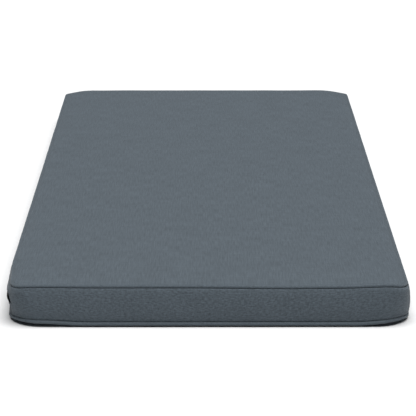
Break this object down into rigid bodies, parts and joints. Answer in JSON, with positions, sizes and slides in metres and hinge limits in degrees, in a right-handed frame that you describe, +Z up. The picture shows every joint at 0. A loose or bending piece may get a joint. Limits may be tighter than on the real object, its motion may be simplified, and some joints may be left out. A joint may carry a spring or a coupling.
{
  "type": "bench cushion",
  "caption": "Long flat boxed bench cushion with a low crown, a bulged border strip and covered cord sewn into the seams round its top and bottom panels.",
  "frame": {"origin": "middle of the bottom panel, on the surface that the cushion lies on", "axes": "+Z up through the thickness, +Y along the length away from the front short side, +X across the width"},
  "size_m": [0.5117, 1.21, 0.0564],
  "materials": {
    "cover_cloth": "matt slate-grey woven polyester",
    "top_piping_cloth": "the cover's cloth, cut on the bias and sewn round a cord",
    "bottom_piping_cloth": "the cover's cloth, cut on the bias and sewn round a cord"
  },
  "bodies": {
    "root": {"cushion_body": "cover_cloth", "top_piping": "top_piping_cloth", "bottom_piping": "bottom_piping_cloth"}
  },
  "joints": []
}
